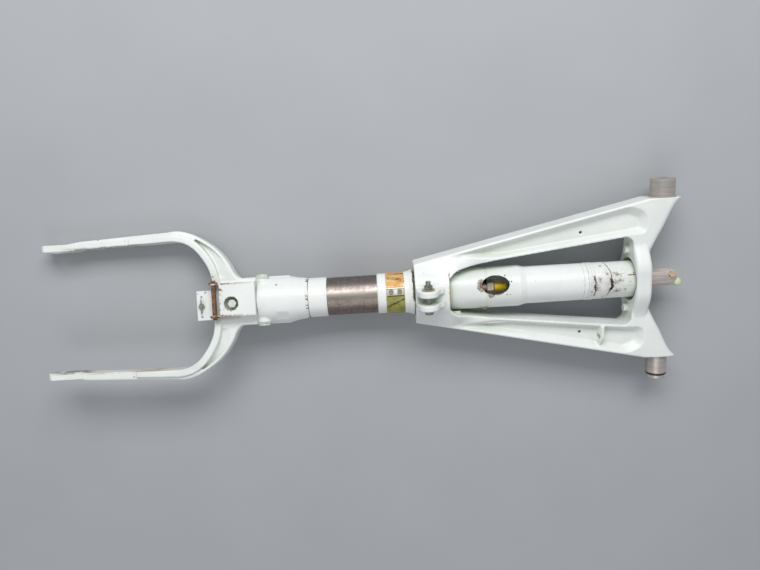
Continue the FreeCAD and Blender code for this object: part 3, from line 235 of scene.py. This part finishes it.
# ---------------------------------------------------------------- paint
WHITE = (0.86, 0.875, 0.855)
SHADE = (0.79, 0.815, 0.785)
# the colour of the shade painted into hollows
PAINTED_SHADE_GREEN = (0.50, 0.58, 0.46)
SOIL = (0.13, 0.095, 0.06)
RUST = (0.20, 0.075, 0.03)
BEIGE = (0.50, 0.44, 0.33)
OLIVE = (0.30, 0.27, 0.12)
DARK = (0.022, 0.018, 0.016)


def paint(name, turn=0.0, casting=False, green_shade=0.6, soil=0.8):
    """White paint with soil in the corners, a painted green shade in its hollows, chips at the
    edges and small specks.
    """
    m = Mat(name, turn)
    m.rough = m.grey(m.noise(60, 4.0), 0.3, 0.7, 0.30, 0.44)
    m.colour = m.mix(m.grey(m.noise(16, 4.0, 0.6), 0.38, 0.66), WHITE, SHADE)
    # painted shade: hollows within 16 mm are tinted green, where shade falls
    m.layer(m.times(m.hollow(16, 0.92, 0.45), green_shade), PAINTED_SHADE_GREEN)
    grime = m.times(m.hollow(4, 0.62, 0.22), m.grey(m.noise(170, 5.0, 0.7), 0.42, 0.62), soil)
    m.layer(grime, SOIL, 0.7)
    spot = m.grey(m.noise(620, 2.0, 0.5, seed=3), 0.735, 0.765)
    m.layer(m.times(spot, 0.8), SOIL, 0.7, -0.03)
    pale = m.grey(m.noise(300, 3.0, 0.6, seed=8), 0.70, 0.74)
    m.layer(m.times(pale, 0.6), BEIGE, 0.65, -0.03)
    if casting:
        worn = m.times(m.edges(0.535, 0.57), m.grey(m.noise(240, 5.0, 0.7, seed=2), 0.57, 0.62))
        m.layer(m.times(worn, 0.9), (0.24, 0.20, 0.15), 0.55, -0.05)
        m.raise_by(m.grey(m.noise(55, 3.0, 0.6), 0.0, 1.0, -0.22 * MM, 0.22 * MM))
    m.raise_by(m.grey(m.noise(420, 3.0, 0.6), 0.0, 1.0, -0.02 * MM, 0.02 * MM))
    return m


def yoke_paint():
    """Paint on the yoke, with a dirty line at its collar's lip and chips along its legs."""
    m = paint("cast_white_yoke", casting=True, green_shade=0.85)
    m.layer(m.times(m.crack(COLLAR_LIP, -17, 28, 1.4, 0.8, seed=1), 0.75), SOIL, 0.7)
    m.layer(m.crack(COLLAR_LIP - 0.5, -4, 12, 1.5, 1.0, seed=2), (0.42, 0.34, 0.08), 0.6)
    top = 30
    for x, y, r in ((560, 34, 2.2), (640, 74, 1.3), (700, 96, 1.6),
                    (612, -52, 1.4), (668, -84, 1.8), (727, -74, 1.3)):
        m.layer(m.times(m.blob((x, y, top), (r, r * 0.7, 8), 0.7), 0.85), BEIGE, 0.6, -0.05)
        m.layer(m.blob((x + 0.3, y, top), (r * 0.5, r * 0.35, 8), 0.6), (0.18, 0.12, 0.08), 0.6)
    return m.done()


def sleeve_marks(m):
    """The seam of old sealant at the flare, and soil and chips by the sleeve's joint."""
    m.layer(m.crack(FLARE_SEAM, -12, 28, 2.4, 1.5, seed=4), (0.20, 0.17, 0.07), 0.7)
    m.layer(m.crack(FLARE_SEAM + 0.3, -10, 26, 1.2, 1.8, seed=6), DARK, 0.8, -0.08)
    m.layer(m.times(m.blob((550, -27, 5), (10, 4, 9), 0.9, 0.3), 0.8), (0.45, 0.36, 0.12), 0.6)
    m.layer(m.blob((552.5, 27.5, 4), (1.6, 1.8, 5), 0.4), OLIVE, 0.6)
    m.layer(m.times(m.crack(SLEEVE_JOINT, 14, 27, 0.45, 0.3, seed=9), 0.7), (0.3, 0.3, 0.3), 0.6)


def window_marks(m):
    """The window's chipped rim, its inside painted near black as shade with rust toward the axle
    end, and the dots beside it.
    """
    rim = m.most(m.blob(WINDOW, (18.7, 13.3, 12), 0.16, 0.1, 170, seed=1),
                 m.blob((545.0, 2.6, 25), (5.6, 8.0, 8), 0.6, 0.1, seed=2),
                 m.blob((557, -11.6, 23), (4.2, 2.6, 8), 0.7, 0.1, seed=3))
    bare = m.times(rim, m.grey(m.noise(260, 4, 0.7, seed=5), 0.36, 0.44))
    m.layer(bare, (0.44, 0.39, 0.31), 0.6, -0.06)
    flaked = m.times(rim, m.grey(m.noise(340, 5, 0.75, seed=15), 0.50, 0.56))
    m.layer(m.times(flaked, 0.85), (0.16, 0.10, 0.07), 0.7, -0.04)
    m.layer(m.times(m.blob((545.5, 2.6, 25), (3.2, 4.4, 8), 0.6, 0.1, seed=4), 0.8),
            (0.16, 0.08, 0.04), 0.7)
    # painted shade: the window's inside is near black, with rust toward its axle end
    out = m.math("SQRT", m.math("ADD", m.times(m.y, m.y), m.times(m.z, m.z)))
    inside = m.times(m.grey(out, 25.2 * MM, 24.6 * MM), m.within(m.x, 535, 590),
                     m.within(m.y, -16, 18), m.grey(m.z, 0, 2 * MM))
    rusty_end = m.times(m.grey(m.noise(140, 5, 0.7), 0.42, 0.58), m.grey(m.x, 558 * MM, 550 * MM))
    shade_and_rust = m.mix(rusty_end, (0.003, 0.003, 0.003), (0.13, 0.05, 0.025))
    m.layer(inside, shade_and_rust, 0.95)
    for x, y, r, colour in ((575.5, 13.5, 1.3, (0.22, 0.25, 0.2)), (581, 14, 1.0, SHADE),
                            (580.5, 6, 0.9, DARK), (577, -10.5, 1.0, DARK)):
        m.layer(m.blob(on_skin(x, y, SLEEVE_SKIN), (r, r, 3), 0.2, 0.3), colour, 0.6)


def worn_patches(m):
    """Dull patches and scuffs on the tube below the ring, and the lines of its two beads."""
    for x, y, rx, ry, how in ((716, -3, 32, 24, 0.45), (690, -7, 9, 17, 0.6),
                              (709, -6, 8, 18, 0.6)):
        patch = m.blob((x, y, 22), (rx, ry, 22), 0.5, 0.7, 120, seed=x)
        m.layer(m.times(patch, m.grey(m.noise(190, 5, 0.7, seed=y), 0.35, 0.6), how),
                (0.50, 0.48, 0.43), 0.5)
    for x in BEADS:
        m.layer(m.times(m.crack(x, -23, 24, 0.5, 0.25, seed=x), 0.55), (0.25, 0.24, 0.2), 0.6)
    # along the strut, across it, and half the length and width of each scuff
    scuffs = ((699, 18.5, 2.0, 1.2), (696, 0.5, 2.6, 3.6), (717, 7, 4.6, 2.4),
              (717, -14.5, 5.4, 2.6), (722.5, 4.5, 1.6, 1.6), (739, 7.5, 2.6, 1.5),
              (728, -13, 2.2, 1.4), (701.5, -21.5, 1.6, 2.2), (721, -1, 3.5, 2.0),
              (686, -14, 2.0, 1.6), (714, -3, 3.6, 5.0), (705, 8, 2.2, 2.6),
              (691, -10, 3.4, 4.4), (733, -4, 1.8, 1.4))
    for i, (x, y, rx, ry) in enumerate(scuffs):
        place = on_skin(x, y, TUBE_SKIN)
        broken = m.grey(m.noise(480, 5, 0.75, seed=i * 2.3), 0.44, 0.54)
        spot = m.times(m.blob(place, (1.3 * rx, 1.3 * ry, 6), 0.9, 0.3, seed=i), broken)
        dull = (0.47, 0.42, 0.33) if i % 2 else (0.36, 0.33, 0.22)
        m.layer(m.times(spot, 0.8), dull, 0.65, -0.04)
        core = m.times(m.blob(place, (0.6 * rx, 0.6 * ry, 6), 0.9, 0.2, seed=i + 20), broken)
        m.layer(m.times(core, 0.9), (0.09, 0.06, 0.045), 0.7)


def cracked_lines(m):
    """Two cracks in the paint round the tube, the gap by the ring and fine dust about them."""
    m.layer(m.crack(LOWER_CRACK, -19, 6, 2.6, 2.2, seed=12), (0.13, 0.06, 0.07), 0.7, -0.06)
    flaked = m.blob(on_skin(LOWER_CRACK - 0.9, -8, TUBE_SKIN), (1.8, 3.6, 5), 0.8)
    m.layer(flaked, (0.10, 0.05, 0.06), 0.8)
    m.layer(m.crack(UPPER_CRACK, -21, 23, 1.1, 1.6, 5.5, seed=14), (0.20, 0.06, 0.035), 0.7,
            -0.06)
    m.layer(m.crack(UPPER_CRACK, -14, 2, 3.4, 1.8, 2.0, seed=14), DARK, 0.8, -0.08)
    left_over = m.blob(on_skin(UPPER_CRACK - 2, -8.5, TUBE_SKIN), (0.9, 0.9, 3), 0.3)
    m.layer(left_over, WHITE, 0.5)
    m.layer(m.times(m.within(m.x, 731, 742, 1.0), m.within(m.y, 4.2, 5.6, 0.4),
                    m.grey(m.z, 0, 5 * MM)), RUST, 0.7)
    dust = m.grey(m.noise(900, 2, 0.6, seed=31), 0.62, 0.66)
    m.layer(m.times(dust, m.blob((700, -4, 22), (45, 30, 20), 0.5, 0.6), 0.7), SOIL, 0.7)


def barrel_paint():
    """Paint on the barrel, with the marks of its sleeve, window and upper tube."""
    m = paint("barrel_white", STEER, soil=0.6)
    sleeve_marks(m)
    window_marks(m)
    worn_patches(m)
    cracked_lines(m)
    return m.done()


def fork_paint():
    """Paint on the fork, stained on the inner side of its lower arm and pad, with painted shade
    along the upper arm's inner edge, and chipped.
    """
    m = paint("cast_white_fork", STEER, casting=True, green_shade=0.35)
    inner = m.times(m.within(m.y, -82, -62, 0.7), m.grey(m.z, 17 * MM, 15 * MM),
                    m.within(m.x, 34, 182, 8))
    patchy = m.grey(m.noise(60, 6, 0.72, (0.6, 1, 1)), 0.38, 0.62, 0.1, 0.8)
    m.layer(m.times(inner, patchy), (0.54, 0.46, 0.34), 0.6)
    worn = m.times(inner, m.within(m.x, 100, 140, 12), m.grey(m.noise(120, 5, 0.7), 0.4, 0.55))
    m.layer(m.times(worn, 0.7), (0.34, 0.25, 0.16), 0.65)
    pad = m.times(m.within(m.y, -79.6, -70, 0.5), m.blob((10, -78, 0), (34, 20, 21), 0.4, 0.5, 60),
                  m.grey(m.z, 18.5 * MM, 16 * MM), m.grey(m.noise(70, 5, 0.7), 0.3, 0.5, 0.4, 0.9))
    m.layer(pad, (0.21, 0.185, 0.155), 0.6)
    # painted shade: a dark olive line along the upper arm's inner edge, broken by noise
    edge = m.times(m.within(m.y, 70, 81.3, 0.6), m.within(m.x, 24, 120, 14),
                   m.grey(m.noise(150, 6, 0.75, (0.5, 1, 1), 3), 0.42, 0.56))
    m.layer(m.times(edge, 0.8), (0.22, 0.18, 0.09), 0.65)
    m.layer(m.times(m.blob((174, -52, 14), (14, 20, 14), 0.7, 0.4, 60),
                    m.grey(m.noise(320, 4, 0.7), 0.60, 0.64)), (0.15, 0.12, 0.09), 0.6)
    chips = ((184, -45, 18, 2.4, 1.6), (176, -58, 18, 1.8, 1.2), (190, -30, 18, 1.6, 2.0),
             (168, 60, 18, 1.6, 1.2), (60, 90, 14, 2.0, 1.0), (205, 34, 14, 1.8, 1.4),
             (96, -88, 16, 2.2, 1.0), (286, 19, 22, 1.6, 1.2), (262, -26, 12, 1.8, 1.2))
    for i, (x, y, z, rx, ry) in enumerate(chips):
        m.layer(m.blob((x, y, z), (rx, ry, 7), 0.9, 0.2, seed=i), BEIGE, 0.6, -0.05)
        m.layer(m.times(m.blob((x, y, z), (rx * 0.55, ry * 0.55, 7), 0.8, 0.2, seed=i + 9), 0.9),
                (0.16, 0.10, 0.06), 0.6)
    return m.done()


def bracket_paint():
    """Paint on the bent sheet, rusty along its edges, at its end and round its hole."""
    m = paint("cast_white_bracket", STEER, green_shade=0.5)
    worn = m.grey(m.noise(260, 5, 0.7), 0.42, 0.52)
    toward = m.grey(m.x, 255 * MM, 212 * MM, 0.15, 1.0)
    for y in BRACKET_EDGES:
        edge = m.within(m.y, y - 1.3, y + 1.3, 0.7)
        m.layer(m.times(edge, worn, toward), RUST, 0.75, -0.03)
    m.layer(m.times(m.within(m.x, 213, 219, 2), m.grey(m.noise(200, 5, 0.7, seed=4), 0.52, 0.62)),
            (0.27, 0.12, 0.06), 0.75)
    m.layer(m.times(m.grey(m.x, 259.2 * MM, 260.0 * MM), 0.6), (0.25, 0.24, 0.21), 0.7)
    hole = m.blob(BRACKET_HOLE, (10.2, 10.2, 8), 0.12, 0.1)
    m.layer(m.times(hole, m.grey(m.noise(300, 4, 0.7, seed=7), 0.40, 0.55)), (0.3, 0.2, 0.13), 0.7)
    return m.done()


def keeper_paint():
    """Paint on the small plate, flaked down to rust."""
    m = paint("cast_white_keeper", STEER, green_shade=0.4)
    flake = m.grey(m.noise(170, 6, 0.72, seed=3), 0.57, 0.61)
    m.layer(flake, BEIGE, 0.65, -0.05)
    m.layer(m.times(flake, m.grey(m.noise(260, 5, 0.7, seed=5), 0.45, 0.55)), RUST, 0.75, -0.05)
    return m.done()


# ---------------------------------------------------------------- metals and the rest
def metal(name, colour, other, rough=(0.28, 0.42), stretch=(1, 1, 1), scale=90.0, turn=STEER,
          soil=0.6, fine=0.015, tarnish=None):
    """Bare metal; its machining lines run across the axes with a large stretch."""
    m = Mat(name, turn)
    lines = m.noise(scale, 6.0, 0.75, stretch)
    m.colour = m.mix(m.grey(lines, 0.36, 0.64), colour, other)
    m.rough = m.grey(lines, 0.3, 0.7, *rough)
    if tarnish:
        m.layer(m.grey(m.noise(45, 5.0, 0.65, seed=5), 0.50, 0.66, 0.0, 0.8), tarnish, rough[1])
    m.layer(m.times(m.hollow(4, 0.6, 0.2), soil), SOIL, 0.7)
    m.raise_by(m.times(m.noise(scale * 4, 4.0, 0.8, stretch), fine * MM))
    return m


def rusty(name):
    """Brown rust with paler crusts and a little bare metal."""
    m = Mat(name, STEER)
    m.colour = m.mix(m.grey(m.noise(150, 6, 0.7), 0.36, 0.62), (0.085, 0.045, 0.03),
                     (0.30, 0.14, 0.07))
    m.layer(m.grey(m.noise(420, 4, 0.7, seed=2), 0.56, 0.66), (0.42, 0.30, 0.22), 0.6)
    m.layer(m.grey(m.noise(110, 5, 0.7, seed=4), 0.62, 0.72), (0.33, 0.30, 0.27), 0.4)
    m.rough = m.grey(m.noise(200, 3), 0.3, 0.7, 0.6, 0.85)
    m.raise_by(m.times(m.noise(500, 5, 0.75), 0.12 * MM))
    return m.done(0.25)


def chrome():
    """Aged chrome with turning lines, darker brown toward its sides as a painted reflection and
    paler along the middle as a painted highlight.
    """
    m = metal("chrome_tube", (0.33, 0.285, 0.265), (0.24, 0.20, 0.19), (0.32, 0.46),
              (9, 0.5, 0.5), 40, fine=0.004)
    mottle = m.grey(m.noise(260, 5, 0.75, (0.6, 1, 1), 6), 0.42, 0.62)
    m.layer(m.times(mottle, 0.5), (0.13, 0.105, 0.095), 0.5)
    streaks = m.grey(m.noise(60, 5, 0.7, (0.25, 1.5, 1.5)), 0.3, 0.65, 0.3, 1.0)
    # painted reflection: darker brown toward the -Y side and darker toward the +Y side, broken by
    # streaks
    m.layer(m.times(m.grey(m.y, -7 * MM, -13 * MM), streaks, 0.6), (0.20, 0.135, 0.105), 0.45)
    m.layer(m.times(m.grey(m.y, 10 * MM, 18 * MM), streaks, 0.5), (0.15, 0.125, 0.115), 0.5)
    # painted highlight: a pale cream band along the middle
    m.layer(m.times(m.within(m.y, -6, 4, 3.5), streaks, 0.75), (0.72, 0.65, 0.53), 0.34)
    pale = m.grey(m.noise(420, 3, 0.6, (0.8, 0.8, 0.8), 11), 0.60, 0.64)
    m.layer(m.times(pale, 0.45), (0.55, 0.48, 0.38), 0.45)
    m.layer(m.times(m.grey(m.noise(500, 3, 0.6, seed=3), 0.66, 0.70), 0.5), SOIL, 0.6)
    return m.done(0.92)


def band():
    """Amber stained sheet: orange above its joint, olive with a dark vein below it."""
    m = Mat("amber_band", STEER)
    upper = m.mix(m.grey(m.noise(150, 5, 0.7, (0.5, 1, 1)), 0.40, 0.60), (0.66, 0.30, 0.05),
                  (0.78, 0.60, 0.30))
    smear = m.grey(m.noise(120, 5, 0.7, (0.6, 1.6, 1), 3.0), 0.52, 0.62)
    m.colour = m.mix(smear, upper, (0.20, 0.08, 0.02))
    m.rough = m.grey(m.noise(120, 3), 0.3, 0.7, 0.28, 0.5)
    lower = m.mix(m.grey(m.noise(110, 5, 0.65, seed=5), 0.38, 0.64), (0.40, 0.36, 0.08),
                  (0.24, 0.24, 0.07))
    m.layer(m.grey(m.y, -3.0 * MM, -4.2 * MM), lower, 0.4)
    slant = m.math("SUBTRACT", m.math("ADD", m.y, 13.5 * MM),
                   m.times(m.math("SUBTRACT", m.x, 435 * MM), 0.42))
    wave = m.grey(m.noise(170, 4, 0.7, seed=7), 0.2, 0.8, -2.4 * MM, 2.4 * MM)
    vein = m.grey(m.math("ABSOLUTE", m.math("ADD", slant, wave)), 1.5 * MM, 0.5 * MM)
    m.layer(m.times(vein, m.grey(m.y, -4.5 * MM, -6 * MM)), (0.09, 0.05, 0.015), 0.5)
    m.layer(m.times(m.within(m.y, -3.6, 4.4, 0.6), 0.9), (0.56, 0.50, 0.36), 0.45)
    m.layer(m.within(m.y, 5.5, 6.6, 0.3), (0.85, 0.80, 0.62), 0.35)
    # dark lines along both edges of the clamp's joint; the upper one, just under the lip, is also
    # a painted shadow
    for low, high in ((3.9, 5.0), (-4.6, -3.4)):
        edge = m.times(m.within(m.y, low, high, 0.3), m.within(m.x, *BAND_ENDS, 0.5))
        m.layer(edge, DARK, 0.6)
    m.layer(m.times(m.hollow(3, 0.7, 0.3), 0.7), SOIL, 0.7)
    m.raise_by(m.times(m.noise(90, 4, 0.6), 0.25 * MM))
    return m.done(0.15)


def coat(name, colour, other, rough=0.35, turn=STEER, scale=120.0, spots=None, soil=0.7):
    """A dull coloured finish with small spots."""
    m = Mat(name, turn)
    m.colour = m.mix(m.grey(m.noise(scale, 4, 0.6), 0.35, 0.65), colour, other)
    m.rough = m.grey(m.noise(scale, 3, seed=2), 0.3, 0.7, rough - 0.07, rough + 0.12)
    if spots:
        m.layer(m.grey(m.noise(420, 4, 0.65, seed=6), 0.62, 0.67), spots, 0.7, -0.03)
    m.layer(m.times(m.hollow(3, 0.6, 0.2), soil), SOIL, 0.7)
    m.raise_by(m.times(m.noise(600, 3), 0.03 * MM))
    return m.done()


# what each material slot shows
SLOT_MATS = {
    "bronze": metal("bronze", (0.50, 0.34, 0.14), (0.36, 0.23, 0.09), stretch=(4, 1, 1)).done(1.0),
    "pin_steel": metal("pin_steel", (0.68, 0.64, 0.60), (0.44, 0.39, 0.36), (0.26, 0.42),
                       (0.4, 9, 0.4), 45, turn=0.0, tarnish=(0.56, 0.45, 0.40)).done(0.6),
    "bolt_steel": metal("bolt_steel", (0.50, 0.49, 0.44), (0.34, 0.33, 0.29), (0.3, 0.5),
                        scale=220, soil=0.8, tarnish=(0.42, 0.36, 0.24)).done(0.9),
    "painted_bolt": coat("painted_bolt", (0.74, 0.78, 0.74), (0.60, 0.66, 0.58), 0.38, 0.0, 200,
                         (0.24, 0.20, 0.15)),
    "rubber_black": coat("rubber_black", (0.016, 0.016, 0.016), (0.03, 0.028, 0.026), 0.55),
    "chrome_tube": chrome(),
    "amber_band": band(),
    "yellow_cap": coat("yellow_cap", (0.95, 0.70, 0.015), (0.88, 0.60, 0.02), 0.34,
                       spots=(0.5, 0.3, 0.03)),
    "rusty_steel": rusty("rusty_steel"),
    "stem_metal": metal("stem_metal", (0.86, 0.79, 0.76), (0.50, 0.40, 0.35), (0.28, 0.42),
                        (0.35, 3.5, 3.5), 45, tarnish=(0.66, 0.54, 0.47)).done(0.6),
    "brass_plug": metal("brass_plug", (0.80, 0.66, 0.50), (0.58, 0.40, 0.25), (0.35, 0.6),
                        scale=180, tarnish=(0.40, 0.22, 0.12)).done(0.5),
    "green_fitting": coat("green_fitting", (0.66, 0.74, 0.53), (0.56, 0.63, 0.44), 0.4,
                          spots=(0.20, 0.16, 0.09)),
    "barrel_white": barrel_paint(),
    "cast_white": paint("cast_white", STEER, green_shade=0.5).done(),
}
# pieces that look different from the rest of their slot
NODE_MATS = {
    "filler_valve": metal("valve_steel", (0.70, 0.64, 0.54), (0.42, 0.35, 0.28), (0.4, 0.6),
                          scale=260, tarnish=(0.30, 0.18, 0.12)).done(0.4),
    "bracket_washer": coat("washer_paint", (0.62, 0.65, 0.58), (0.45, 0.47, 0.41), 0.45,
                           spots=(0.22, 0.17, 0.12), soil=0.2),
    "trunnion_yoke": yoke_paint(),
    "fork": fork_paint(),
    "tow_bracket": bracket_paint(),
    "keeper_plate": keeper_paint(),
    "brace_washers": metal("washer_steel", (0.55, 0.53, 0.46), (0.40, 0.37, 0.30), (0.3, 0.5),
                           turn=0.0, scale=200, tarnish=(0.45, 0.33, 0.2)).done(0.85),
}
SLOTS = {s["node"]: s["material_slot"] for s in frame["record"]["subparts"]}
for node, obj in frame["nodes"].items():
    obj.data.materials.clear()
    obj.data.materials.append(NODE_MATS.get(node) or SLOT_MATS[SLOTS[node]])


# ---------------------------------------------------------------- castings with soft edges
VOXEL = 1.0 * MM


def apply_modifier(piece, name, kind, **settings):
    """Apply one modifier to a piece and keep the mesh it makes."""
    change = piece.modifiers.new(name, kind)
    for key, value in settings.items():
        setattr(change, key, value)
    held = bpy.context.evaluated_depsgraph_get()
    mesh = bpy.data.meshes.new_from_object(piece.evaluated_get(held))
    piece.modifiers.clear()
    piece.data = mesh
    mesh.name = piece.name


def cast_copy(node, body, rounds, soft_place):
    """A copy of a casting on an even fine mesh, with its edges rounded as foundries leave them.

    The soft place is (low corner, high corner, rounds of smoothing), in millimetres, and holds
    for both sides and faces of the strut.
    """
    source = frame["nodes"][node]
    piece = bpy.data.objects.new(node + "_casting", source.data.copy())
    bpy.context.scene.collection.objects.link(piece)
    piece.matrix_world = source.matrix_world.copy()
    apply_modifier(piece, "even mesh", "REMESH", mode="VOXEL", voxel_size=VOXEL,
                   use_smooth_shade=True)
    low, high, extra = soft_place
    inside = [v.index for v in piece.data.vertices
              if all(a * MM < c < b * MM for a, c, b in
                     zip(low, (v.co.x, abs(v.co.y), abs(v.co.z)), high))]
    piece.vertex_groups.new(name="soft").add(inside, 1.0, "REPLACE")
    apply_modifier(piece, "ease", "SMOOTH", factor=0.5, iterations=extra, vertex_group="soft")
    piece.vertex_groups.clear()
    apply_modifier(piece, "soft edges", "SMOOTH", factor=0.5, iterations=rounds)
    piece.data.materials.clear()
    piece.data.materials.append(NODE_MATS[node])
    piece.data.polygons.foreach_set("use_smooth", [True] * len(piece.data.polygons))
    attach(piece, body)
    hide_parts(node)


# the soft places are the shoulder past the collar and the ends of the fork's webs
cast_copy("trunnion_yoke", "yoke", 4, ((504.5, 14, 8), (552, 47, 40), 30))
cast_copy("fork", "piston_and_fork", 5, ((148, 26, 0), (222, 92, 30), 8))

# ---------------------------------------------------------------- floor, light, camera
FLOOR_SIZE = 40.0
FLOOR_MIDDLE = 0.4
STRUT_MIDDLE = (0.42, 0, 0)
LOWEST = min(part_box(node)[0].z for node in frame["nodes"])
PICTURE_WIDTH = 760.0
SENSOR = 36.0
FOCAL_LENGTH = 650.0 / PICTURE_WIDTH * SENSOR
CAMERA_PLACE = (0.4173, 0.2007, 0.8207)
CAMERA_TILT = math.radians(-13.0)  # it looks from this far to the +Y side of the yoke's face
CAMERA_ROLL = math.radians(-3.434)

bpy.ops.mesh.primitive_plane_add(size=FLOOR_SIZE,
                                 location=(FLOOR_MIDDLE, 0, LOWEST - 0.5 * MM))
floor = bpy.context.object
floor.name = "floor"
paper = Mat("floor_paper")
paper.colour = paper.mix(paper.grey(paper.noise(6, 3), 0.3, 0.7), (0.42, 0.43, 0.445),
                         (0.44, 0.45, 0.465))
paper.rough = 0.9
floor.data.materials.append(paper.done())


def area(name, place, size, power):
    """A rectangular soft light that faces the strut's middle."""
    light = bpy.data.lights.new(name, "AREA")
    light.energy = power
    light.shape = "RECTANGLE"
    light.size, light.size_y = size
    lamp = bpy.data.objects.new(name, light)
    bpy.context.scene.collection.objects.link(lamp)
    lamp.location = place
    facing = Vector(STRUT_MIDDLE) - Vector(place)
    lamp.rotation_euler = facing.to_track_quat("-Z", "Y").to_euler()
    return light


area("key", (0.45, 1.25, 1.15), (1.5, 0.7), 24)
area("fill", (0.2, -1.1, 1.5), (1.5, 1.0), 6).specular_factor = 0.3
world = bpy.data.worlds.new("studio")
bpy.context.scene.world = world
world.use_nodes = True
sky = world.node_tree.nodes["Background"].inputs
sky["Color"].default_value = (0.9, 0.95, 1.0, 1.0)
sky["Strength"].default_value = 0.35

lens = bpy.data.cameras.new("camera")
lens.sensor_width = SENSOR
lens.lens = FOCAL_LENGTH
camera = bpy.data.objects.new("camera", lens)
bpy.context.scene.collection.objects.link(camera)
bpy.context.scene.camera = camera
turn = Matrix.Rotation(CAMERA_TILT, 4, "X") @ Matrix.Rotation(CAMERA_ROLL, 4, "Z")
camera.matrix_world = Matrix.Translation(CAMERA_PLACE) @ turn
bpy.context.scene.view_settings.view_transform = "Standard"
